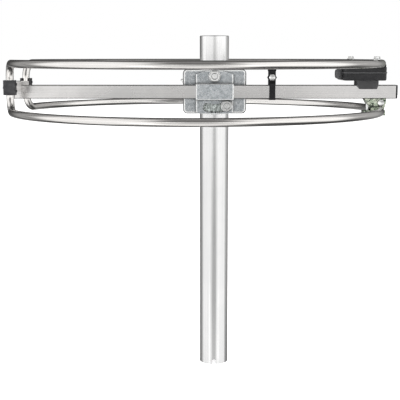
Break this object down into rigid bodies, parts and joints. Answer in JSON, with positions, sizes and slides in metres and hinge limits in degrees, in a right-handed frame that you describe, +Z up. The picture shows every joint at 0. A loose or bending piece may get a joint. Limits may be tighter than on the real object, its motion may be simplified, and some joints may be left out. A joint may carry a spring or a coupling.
{
  "type": "ring dipole antenna",
  "caption": "Folded dipole bent into a double ring, on a square boom with a feed box, tilting mast bracket and short mast.",
  "frame": {"origin": "centre of the mast's foot, on its axis", "axes": "+Z up the mast, -Y the front where the boom runs past the mast, +X along the boom towards the feed box"},
  "size_m": [0.5184, 0.5, 0.464],
  "materials": {
    "mast_aluminium": "brushed satin tube",
    "boom_aluminium": "drawn satin profile",
    "ring_aluminium": "polished drawn tube",
    "galvanised_steel": "hot-dip galvanised, spangled",
    "zinc_hardware": "bright zinc plate",
    "yellow_zinc": "yellow passivated zinc",
    "black_plastic": "moulded, fine grain",
    "insulator_plastic": "moulded, semi-matt",
    "spreader_plastic": "natural grey moulding",
    "brass": "plain",
    "circuit_board": "solder mask",
    "ferrite": "sintered, dull"
  },
  "bodies": {
    "mast": {"mast_tube": "mast_aluminium"},
    "clamp": {"clamp_plate": "galvanised_steel", "clamp_studs": "galvanised_steel", "pivot_bolt": "zinc_hardware", "pivot_washer": "zinc_hardware", "pivot_nut": "zinc_hardware", "lock_bolt": "zinc_hardware", "lock_washer": "zinc_hardware", "lock_nut": "zinc_hardware"},
    "jaw": {"clamp_jaw": "galvanised_steel"},
    "wing_left": {"wing_nut_left": "zinc_hardware"},
    "wing_right": {"wing_nut_right": "zinc_hardware"},
    "bracket": {"tilt_bracket": "galvanised_steel"},
    "antenna": {"boom_tube": "boom_aluminium", "boom_cap_right": "black_plastic", "boom_cap_left": "black_plastic", "dipole_tube_front": "ring_aluminium", "feed_tube_front": "ring_aluminium", "tube_insert_front": "ring_aluminium", "splice_bolt_front": "zinc_hardware", "dipole_tube_back": "ring_aluminium", "feed_tube_back": "ring_aluminium", "tube_insert_back": "ring_aluminium", "splice_bolt_back": "zinc_hardware", "lower_joint_pin": "ring_aluminium", "spreader_bar": "spreader_plastic", "spreader_screw": "zinc_hardware", "gap_block_front": "insulator_plastic", "gap_screw_front": "insulator_plastic", "gap_block_back": "insulator_plastic", "gap_screw_back": "insulator_plastic", "feed_box_base": "black_plastic", "feed_box_lid": "black_plastic", "lid_screws": "zinc_hardware", "lid_inserts": "brass", "box_saddle": "black_plastic", "gland_stem": "black_plastic", "balun_board": "circuit_board", "balun_core": "ferrite", "terminal_lug_front": "brass", "terminal_screw_front": "zinc_hardware", "terminal_lug_back": "brass", "terminal_screw_back": "zinc_hardware", "ring_saddle": "yellow_zinc", "ring_strap": "yellow_zinc", "pinch_bolt": "zinc_hardware", "pinch_nut": "zinc_hardware", "through_bolt": "zinc_hardware", "through_nut": "zinc_hardware", "through_washer": "zinc_hardware"},
    "clip": {"cable_clip": "black_plastic", "clip_bolt": "zinc_hardware", "clip_nut": "zinc_hardware"},
    "gland": {"gland_nut": "black_plastic"}
  },
  "joints": [
    {"name": "head_swivel", "type": "hinge", "parent": "mast", "child": "clamp", "pos_m": [0, 0, 0.389], "axis": [0, 0, 1], "continuous": true},
    {"name": "jaw_slide", "type": "slide", "parent": "clamp", "child": "jaw", "axis": [0, 1, 0], "range_m": [0, 0.008]},
    {"name": "wing_left_turn", "type": "hinge", "parent": "jaw", "child": "wing_left", "pos_m": [-0.033, 0.03, 0.389], "axis": [0, 1, 0], "range_deg": [0, 2304]},
    {"name": "wing_right_turn", "type": "hinge", "parent": "jaw", "child": "wing_right", "pos_m": [0.033, 0.03, 0.389], "axis": [0, 1, 0], "range_deg": [0, 2304]},
    {"name": "bracket_tilt", "type": "hinge", "parent": "clamp", "child": "bracket", "pos_m": [0, -0.0297, 0.4095], "axis": [0, -1, 0], "range_deg": [0, 36]},
    {"name": "boom_slide", "type": "slide", "parent": "bracket", "child": "antenna", "axis": [1, 0, 0], "range_m": [-0.015, 0.05]},
    {"name": "clip_slide", "type": "slide", "parent": "antenna", "child": "clip", "axis": [1, 0, 0], "range_m": [-0.012, 0.07]},
    {"name": "gland_turn", "type": "hinge", "parent": "antenna", "child": "gland", "pos_m": [0.164, -0.0519, 0.41325], "axis": [1, 0, 0], "continuous": true}
  ],
  "couplings": [
    {"joint": "wing_left_turn", "follows": "jaw_slide", "rad_per_m": 5026.5},
    {"joint": "wing_right_turn", "follows": "jaw_slide", "rad_per_m": 5026.5}
  ]
}
